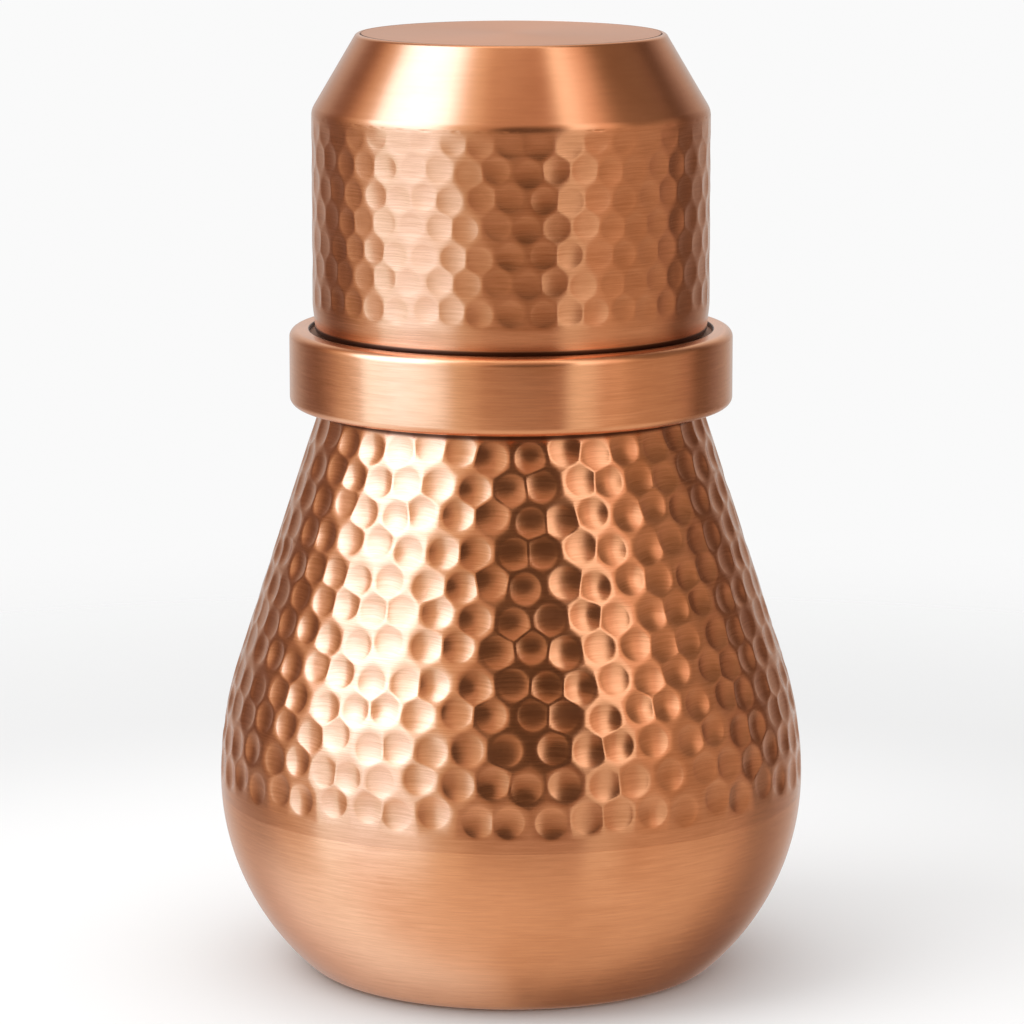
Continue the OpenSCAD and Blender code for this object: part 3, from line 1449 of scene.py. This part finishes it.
@dataclass
class Neck:
    """The plain neck that the tumbler hides, with its lip rolled outwards over a wire."""

    sheet_t: float = 0.0007
    bead: float = 0.0017
    foot_ease: float = 0.0002

    def __post_init__(self) -> None:
        """Takes the overall sizes from the frame."""
        radius, self.foot_z, self.lip_z = extent("neck_tube")
        self.bead_r = radius - self.bead
        self.inner_r = self.bead_r - self.bead

    def tube(self) -> bpy.types.Object:
        """Makes the tube and its rolled lip.

        Returns:
            The neck.
        """
        centre = (self.bead_r, self.lip_z - self.bead)
        start = 180 + math.degrees(math.acos((self.bead - self.sheet_t) / self.bead))
        outline = [(self.inner_r, self.foot_z), (self.inner_r + self.sheet_t, self.foot_z)]
        outline += arc(centre, self.bead, start, 540, 40)
        return turned("neck", eased(outline, 1, self.foot_ease))

    def build(self, coats: dict[Coat, bpy.types.Material]) -> None:
        """Makes and dresses the neck.

        Args:
            coats: The finishes.
        """
        dress(self.tube(), coats, Coat.NECK, Body.BOTTLE, "neck_tube")


@dataclass
class Tumbler:
    """The drinking tumbler, which stands mouth down on the seat tray."""

    base_r: float = 0.0325
    cone_h: float = 0.016
    cone_round: float = 0.004
    sheet_t: float = 0.0007
    disc_t: float = 0.001
    base_round: float = 0.0011
    band_h: float = 0.0064
    band_step: float = 0.00045
    bead: float = 0.0015
    groove: float = 0.00016
    zone_top: float = 0.0004
    crown_start: float = 3.0
    disc_shares: tuple[float, ...] = (0.97, 0.75, 0.5, 0.25, 0.0)
    hammering: Hammering = Hammering(
        rows=7,
        first=0.0026,
        pitch=0.0058,
        spacing_low=0.0061,
        spacing_high=0.0061,
        dent=0.0030,
        depth=0.00022,
        wander=0.10,
        facet=0.0008,
        seed=11,
        fade=0.0048,
    )

    def __post_init__(self) -> None:
        """Takes the overall sizes from the frame and works out the cone's lines."""
        self.wall_r, self.rim_z, self.top_z = extent("tumbler_shell")
        self.band_r = self.wall_r - self.band_step
        self.cone_z = self.top_z - self.cone_h
        self.slope = math.atan((self.wall_r - self.base_r) / self.cone_h)
        bend_z = self.cone_z - self.cone_round * math.tan(self.slope / 2)
        self.cone_c = (self.wall_r - self.cone_round, bend_z)
        edge = self.base_round * (1 - math.sin(self.slope)) / math.cos(self.slope)
        self.edge_c = (self.base_r - edge, self.top_z - self.base_round)

    def cone_in_r(self, height: float) -> float:
        """Gives the cone's inner radius at a height.

        Args:
            height: The height.

        Returns:
            The radius.
        """
        widening = (self.top_z - height) * math.tan(self.slope)
        return self.base_r - self.sheet_t / math.cos(self.slope) + widening

    def taper(self, inset: float, top: float, steps: int = 12) -> list[Point]:
        """Draws the plain band, which widens gently from the rolled rim up to the wall.

        Args:
            inset: How far the line is sunk into the metal.
            top: The height where the band comes to the wall.
            steps: The number of steps.

        Returns:
            The points from just above the rolled rim upwards.
        """
        shares = [i / steps for i in range(1, steps + 1)]
        low = self.rim_z + self.bead
        widths = [self.band_r + (self.wall_r - self.band_r) * t * t * (3 - 2 * t) for t in shares]
        return [(r - inset, low + (top - low) * t) for r, t in zip(widths, shares)]

    def shell(self, finish: bpy.types.Material) -> bpy.types.Object:
        """Makes the wall and the cone, with the rim rolled inwards over a wire.

        Args:
            finish: The hammered finish.

        Returns:
            The shell.
        """
        t, slope = self.sheet_t, math.degrees(self.slope)
        zone_low = self.rim_z + self.band_h + self.band_step
        bend = math.degrees(math.asin(self.zone_top / self.cone_round))
        zone = straight((self.wall_r, zone_low), (self.wall_r, self.cone_c[1]), 40)
        zone += arc(self.cone_c, self.cone_round, 0, bend, 4)[1:]
        mesh = TurnedMesh()
        low, high, blows = self.hammering.skin(mesh, SkinLine(zone))

        bead_c = (self.band_r - self.bead, self.rim_z + self.bead)
        start = math.degrees(math.acos((self.bead - t) / self.bead))
        rolled = arc(bead_c, self.bead, start, 360, 36) + self.taper(0.0, zone_low)[:-1]
        foot = mesh.rings(rolled, around(ROUND_SIDES))
        mesh.chain([*foot, low])

        crown = arc(self.cone_c, self.cone_round, bend + self.crown_start, slope, 12)
        crown += arc(self.edge_c, self.base_round, slope, 90, 12)
        rim_in, under_disc = self.cone_in_r(self.top_z), self.top_z - self.disc_t
        crown += [(rim_in + self.groove, self.top_z), (rim_in, self.top_z - self.groove)]
        inner = [(self.cone_in_r(under_disc), under_disc)]
        inner += arc(self.cone_c, self.cone_round - t, slope, 0, 8)
        inner += self.taper(t, zone_low)[::-1]
        head = mesh.rings(crown, around(ROUND_SIDES)) + mesh.rings(inner, around(HIDDEN_SIDES))
        mesh.chain([high, *head, foot[0]])
        return self.hammering.strike(mesh.finish("tumbler"), blows, finish)

    def disc(self) -> bpy.types.Object:
        """Makes the flat disc let into the narrow end.

        Returns:
            The disc.
        """
        low_z, edge_r = self.top_z - self.disc_t, self.cone_in_r(self.top_z)
        outline = [(0.0, low_z), (self.cone_in_r(low_z), low_z), (edge_r, self.top_z - self.groove)]
        outline += [(edge_r - self.groove, self.top_z)]
        outline += [(edge_r * share, self.top_z) for share in self.disc_shares]
        return turned("tumbler_disc", outline, closed=False)

    def build(self, coats: dict[Coat, bpy.types.Material]) -> None:
        """Makes and dresses both pieces.

        Args:
            coats: The finishes.
        """
        shell = self.shell(coats[Coat.TUMBLER])
        dress(shell, coats, Coat.TUMBLER, Body.TUMBLER, "tumbler_shell")
        dress(self.disc(), coats, Coat.DISC, Body.TUMBLER, "tumbler_base_disc")


def dress_frame(nodes: dict[str, bpy.types.Object], coats: dict[Coat, bpy.types.Material]) -> None:
    """Gives the frame's own wires and brazes their finishes.

    Args:
        nodes: The frame's nodes.
        coats: The finishes.
    """
    kept = dict.fromkeys(("neck_lip_wire", "tumbler_rim_wire"), Coat.WIRE)
    kept |= dict.fromkeys(("girth_seam_braze", "neck_seam_braze", "tumbler_base_braze"), Coat.BRAZE)
    for name, coat in kept.items():
        for slot in nodes[name].material_slots:
            slot.material = coats[coat]
        log.info("%s: %s", name, coat.slot.value)


# ---------------------------------------------------------------------------------------------
# Studio
# ---------------------------------------------------------------------------------------------


@dataclass(frozen=True)
class Bank:
    """A stretch of bearings in degrees with soft ends."""

    start: float
    full: float
    ebb: float
    end: float

    def share(self, sheet: NodeSheet, bearing: Wire) -> Wire:
        """Gives how fully a bearing lies in the stretch.

        Args:
            sheet: The sheet to add to.
            bearing: The bearing in radians.

        Returns:
            The share.
        """
        start, full, ebb, end = map(math.radians, (self.start, self.full, self.ebb, self.end))
        return sheet.ease(bearing, start, full) * (1 - sheet.ease(bearing, ebb, end))


@dataclass
class Studio:
    """A plain pale floor, soft light from large panels and the camera.

    Bearings run from the front towards the right, in degrees. Each panel has its bearing and its
    light, and the light goes over smoothly from one to the next. A rise is where an effect starts
    and where it is full, by the sine of the elevation, and low_rise counts it downwards. The spot
    is a dark patch at the front, flat within its edge.
    """

    camera_back: float = 1.033
    camera_height: float = 0.285
    camera_pitch: float = 10.26
    camera_lens: float = 173.2
    camera_sensor: float = 36.0
    axis_shift: float = 0.0002
    floor_r: float = 0.50
    floor_sides: int = 96
    floor_rings: int = 12
    fade_start: float = 0.24
    shade_start: float = 0.09
    shade_end: float = 0.26
    floor_near: float = 0.94
    floor_far: float = 0.77
    floor_unseen: float = 0.75
    pale: float = 0.955
    dome: float = 1.0
    bounce: float = 0.35
    key_place: tuple[float, float, float] = (-0.62, -0.35, 0.95)
    key_aim: tuple[float, float, float] = (0.0, 0.0, 0.06)
    key_size: float = 0.8
    key_power: float = 3.7
    spot_bearing: float = 10.0
    spot_height: float = 20.0
    spot_width: float = 22.0
    spot_rise: float = 19.0
    spot_share: float = 0.94
    spot_light: Colour = (0.07, 0.05, 0.04)
    top_light: Colour = (0.85, 0.83, 0.80)
    cool_tint: Colour = (0.82, 0.87, 1.0)
    cool_gain: float = 0.72
    high_spread: float = 0.19
    high_gain: float = 0.36
    right_loss: float = 0.86
    front_fall: Range = (97.4, 149.0)
    spread_rise: Range = (-0.1, 0.7)
    low_rise: Range = (0.25, 0.6)
    cool_rise: Range = (-0.05, 0.4)
    gain_rise: Range = (0.0, 0.5)
    top_rise: Range = (0.86, 0.96)
    spot_edge: Range = (0.45, 1.5)
    left_bank: Bank = Bank(38, 54, 88, 105)
    right_bank: Bank = Bank(58, 84, 115, 150)
    stripe: Bank = Bank(29, 34, 52, 60)
    low_panels: Panels = (
        (-180, (0.50, 0.46, 0.43)),
        (-155, (0.62, 0.60, 0.60)),
        (-142, (0.66, 0.62, 0.62)),
        (-116, (1.10, 1.45, 1.90)),
        (-84, (1.25, 1.75, 2.40)),
        (-68, (1.00, 1.10, 1.30)),
        (-48, (0.86, 0.88, 0.92)),
        (0, (0.76, 0.70, 0.64)),
        (60, (0.72, 0.66, 0.60)),
        (96, (0.78, 0.75, 0.69)),
        (108, (0.48, 0.38, 0.31)),
        (124, (0.20, 0.13, 0.10)),
        (158, (0.15, 0.10, 0.08)),
        (180, (0.50, 0.46, 0.43)),
    )
    panels: Panels = (
        (-180, (0.68, 0.66, 0.64)),
        (-160, (0.60, 0.61, 0.60)),
        (-145, (0.48, 0.45, 0.43)),
        (-130, (0.26, 0.19, 0.17)),
        (-118, (0.22, 0.15, 0.12)),
        (-108, (0.36, 0.26, 0.21)),
        (-98, (0.60, 0.52, 0.43)),
        (-84, (0.85, 0.90, 0.95)),
        (-81, (1.25, 1.9, 2.7)),
        (-60, (1.4, 2.15, 3.35)),
        (-38, (1.25, 1.8, 2.55)),
        (-29, (0.78, 0.82, 0.80)),
        (-19, (0.66, 0.60, 0.53)),
        (-14, (0.50, 0.40, 0.33)),
        (0, (0.46, 0.35, 0.285)),
        (18, (0.40, 0.28, 0.22)),
        (26, (0.40, 0.28, 0.22)),
        (31, (0.90, 0.95, 0.95)),
        (41, (0.86, 0.88, 0.86)),
        (48, (0.64, 0.51, 0.42)),
        (58, (0.66, 0.54, 0.44)),
        (66, (0.54, 0.42, 0.33)),
        (92, (0.50, 0.40, 0.33)),
        (103, (0.42, 0.31, 0.26)),
        (112, (0.19, 0.13, 0.105)),
        (121, (0.18, 0.125, 0.10)),
        (132, (0.28, 0.23, 0.22)),
        (147, (0.44, 0.40, 0.37)),
        (162, (0.58, 0.60, 0.59)),
        (180, (0.68, 0.66, 0.64)),
    )

    def __post_init__(self) -> None:
        """Finds the brightest light, which the colour ramps count as 1."""
        self.peak = max(max(light) for _, light in self.panels)

    def floor(self) -> None:
        """Lays a round pale floor that fades out into the pale surround, painted paler round the
        object as a painted pool of light that lifts the object's shade on it.
        """
        mesh = TurnedMesh()
        steps = range(self.floor_rings, -1, -1)
        outline = [(self.floor_r * step / self.floor_rings, 0.0) for step in steps]
        mesh.chain(mesh.rings(outline, around(self.floor_sides)))
        floor = mesh.finish("floor")

        paper = bpy.data.materials.new("pale_floor")
        sheet = NodeSheet.of(paper)
        place = sheet.out("ShaderNodeTexCoord", output="Object")
        away = sheet.out("ShaderNodeVectorMath", {"operation": "LENGTH"}, {0: place}, "Value")
        # Painted light: the floor is paler near the object than further out, a painted pool of
        # light that lifts the shade the object casts round itself.
        spread = sheet.ease(away, self.shade_start, self.shade_end)
        pool_painted_white = sheet.blend(spread, (self.floor_near,) * 3, (self.floor_far,) * 3)
        shade = sheet.out("ShaderNodeBsdfDiffuse", None, {"Color": pool_painted_white})
        clear = sheet.out("ShaderNodeBsdfTransparent")
        unseen = sheet.out("ShaderNodeLightPath", output="Is Glossy Ray") * self.floor_unseen
        gone = sheet.ease(away, self.fade_start, self.floor_r).math("MAXIMUM", unseen)
        mixed = sheet.mix(gone, shade, clear)
        sheet.node("ShaderNodeOutputMaterial", None, {"Surface": mixed})
        floor.data.materials.append(paper)
        log.info("floor: %.1f m across", self.floor_r * 2)

    def ramp(self, sheet: NodeSheet, panels: Panels, bearing: Wire) -> Wire:
        """Spreads panels round the axis.

        Args:
            sheet: The sheet to add to.
            panels: The panels.
            bearing: The bearing in radians.

        Returns:
            The light as a share of the brightest.
        """
        stops = [(at / 360 + 0.5, self.scaled(light)) for at, light in panels]
        return sheet.out("ShaderNodeValToRGB", {"stops": stops}, {0: bearing / TURN + 0.5})

    def scaled(self, light: Colour) -> Colour:
        """Gives a light as a share of the brightest.

        Args:
            light: The light.

        Returns:
            The share of each colour.
        """
        return tuple(part / self.peak for part in light)

    def hang(self, sheet: NodeSheet) -> tuple[Wire, Wire]:
        """Hangs the panels that the metal reflects.

        Args:
            sheet: The world's sheet.

        Returns:
            The colour of the light and its gain, which is less for copper as the floor sees it.
        """
        x, y, z = sheet.axes(sheet.out("ShaderNodeTexCoord", output="Generated"))
        bearing = x.math("ARCTAN2", 0 - y)
        front = 1 - sheet.ease(bearing.math("ABSOLUTE"), *map(math.radians, self.front_fall))
        drawn = bearing * (1 - sheet.ease(z, *self.spread_rise) * self.high_spread * front)
        low, middle = (
            self.ramp(sheet, panels, at)
            for panels, at in ((self.low_panels, bearing), (self.panels, drawn))
        )
        level = sheet.blend(sheet.ease(0 - z, *self.low_rise), middle, low)

        lifted = self.left_bank.share(sheet, 0 - bearing) + self.stripe.share(sheet, drawn)
        lifted = lifted * sheet.ease(z, *self.cool_rise)
        light = sheet.blend(lifted, level, self.cool_tint, "MULTIPLY")
        light = sheet.blend(sheet.ease(z, *self.top_rise), light, self.scaled(self.top_light))
        aside, above = (
            (at - math.radians(middle_at)) / math.radians(reach)
            for at, middle_at, reach in (
                (bearing, self.spot_bearing, self.spot_width),
                (z.math("ARCSINE"), self.spot_height, self.spot_rise),
            )
        )
        spot = 1 - sheet.ease(aside * aside + above * above, *self.spot_edge)
        spot = spot * self.spot_share
        light = sheet.blend(spot, light, self.scaled(self.spot_light))

        right = self.right_bank.share(sheet, bearing) * self.right_loss
        gain = 1 + sheet.ease(z, *self.gain_rise) * (self.high_gain - right)
        depth = sheet.out("ShaderNodeLightPath", output="Diffuse Depth").math("MINIMUM", 1.0)
        gain = gain * (1 - depth * (1 - self.bounce)) * (1 + lifted * self.cool_gain)
        return light, gain

    def surround(self) -> None:
        """Sets up the world: panels for reflections, a dome for the rest, plain to the camera."""
        world = bpy.data.worlds.new("soft_panels")
        bpy.context.scene.world = world
        sheet = NodeSheet.of(world)
        light, gain = self.hang(sheet)
        lit = {"Color": light, "Strength": gain * self.peak}
        panels, dome, plain = (
            sheet.out("ShaderNodeBackground", None, inputs)
            for inputs in (lit, {"Color": (self.dome,) * 3}, {"Color": (self.pale,) * 3})
        )
        glossy, seen = (
            sheet.out("ShaderNodeLightPath", output=f"Is {ray} Ray") for ray in ("Glossy", "Camera")
        )
        mixed = sheet.mix(seen, sheet.mix(glossy, dome, panels), plain)
        sheet.node("ShaderNodeOutputWorld", None, {"Surface": mixed})
        log.info("surround: %d panels", len(self.panels))

    def key(self) -> None:
        """Hangs the one lamp that gives the soft shadow on the right."""
        lamp = bpy.data.lights.new("key", "AREA")
        lamp.shape = "DISK"
        lamp.size = self.key_size
        lamp.energy = self.key_power
        holder = linked("key", lamp)
        holder.location = self.key_place
        aim = Vector(self.key_aim) - Vector(self.key_place)
        holder.rotation_euler = aim.to_track_quat("-Z", "Y").to_euler()
        holder.visible_glossy = False
        holder.visible_camera = False
        log.info("key: %.2f m across", self.key_size)

    def camera(self) -> None:
        """Sets up the camera, level from side to side and pitched down a little."""
        lens = bpy.data.cameras.new("camera")
        lens.sensor_width = self.camera_sensor
        lens.lens = self.camera_lens
        lens.clip_start, lens.clip_end = 0.05, 20.0
        holder = linked("camera", lens)
        holder.location = (self.axis_shift, -self.camera_back, self.camera_height)
        holder.rotation_euler = (math.radians(90 - self.camera_pitch), 0.0, 0.0)
        bpy.context.scene.camera = holder
        log.info("camera: %.3f m from the axis", self.camera_back)

    def build(self) -> None:
        """Sets up the whole studio."""
        self.camera()
        self.floor()
        self.surround()
        self.key()
        view = bpy.context.scene.view_settings
        view.view_transform = "Standard"
        view.look = "None"


def main() -> None:
    """Builds the looks round the frame, sub-assembly by sub-assembly."""
    logging.basicConfig(level=logging.INFO, format="%(name)s: %(message)s")
    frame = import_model()
    Studio().build()
    coats = finishes()
    Vessel().build(coats)
    Collar().build(coats)
    Neck().build(coats)
    Tumbler().build(coats)
    dress_frame(frame["nodes"], coats)


if __name__ == "__main__":
    main()
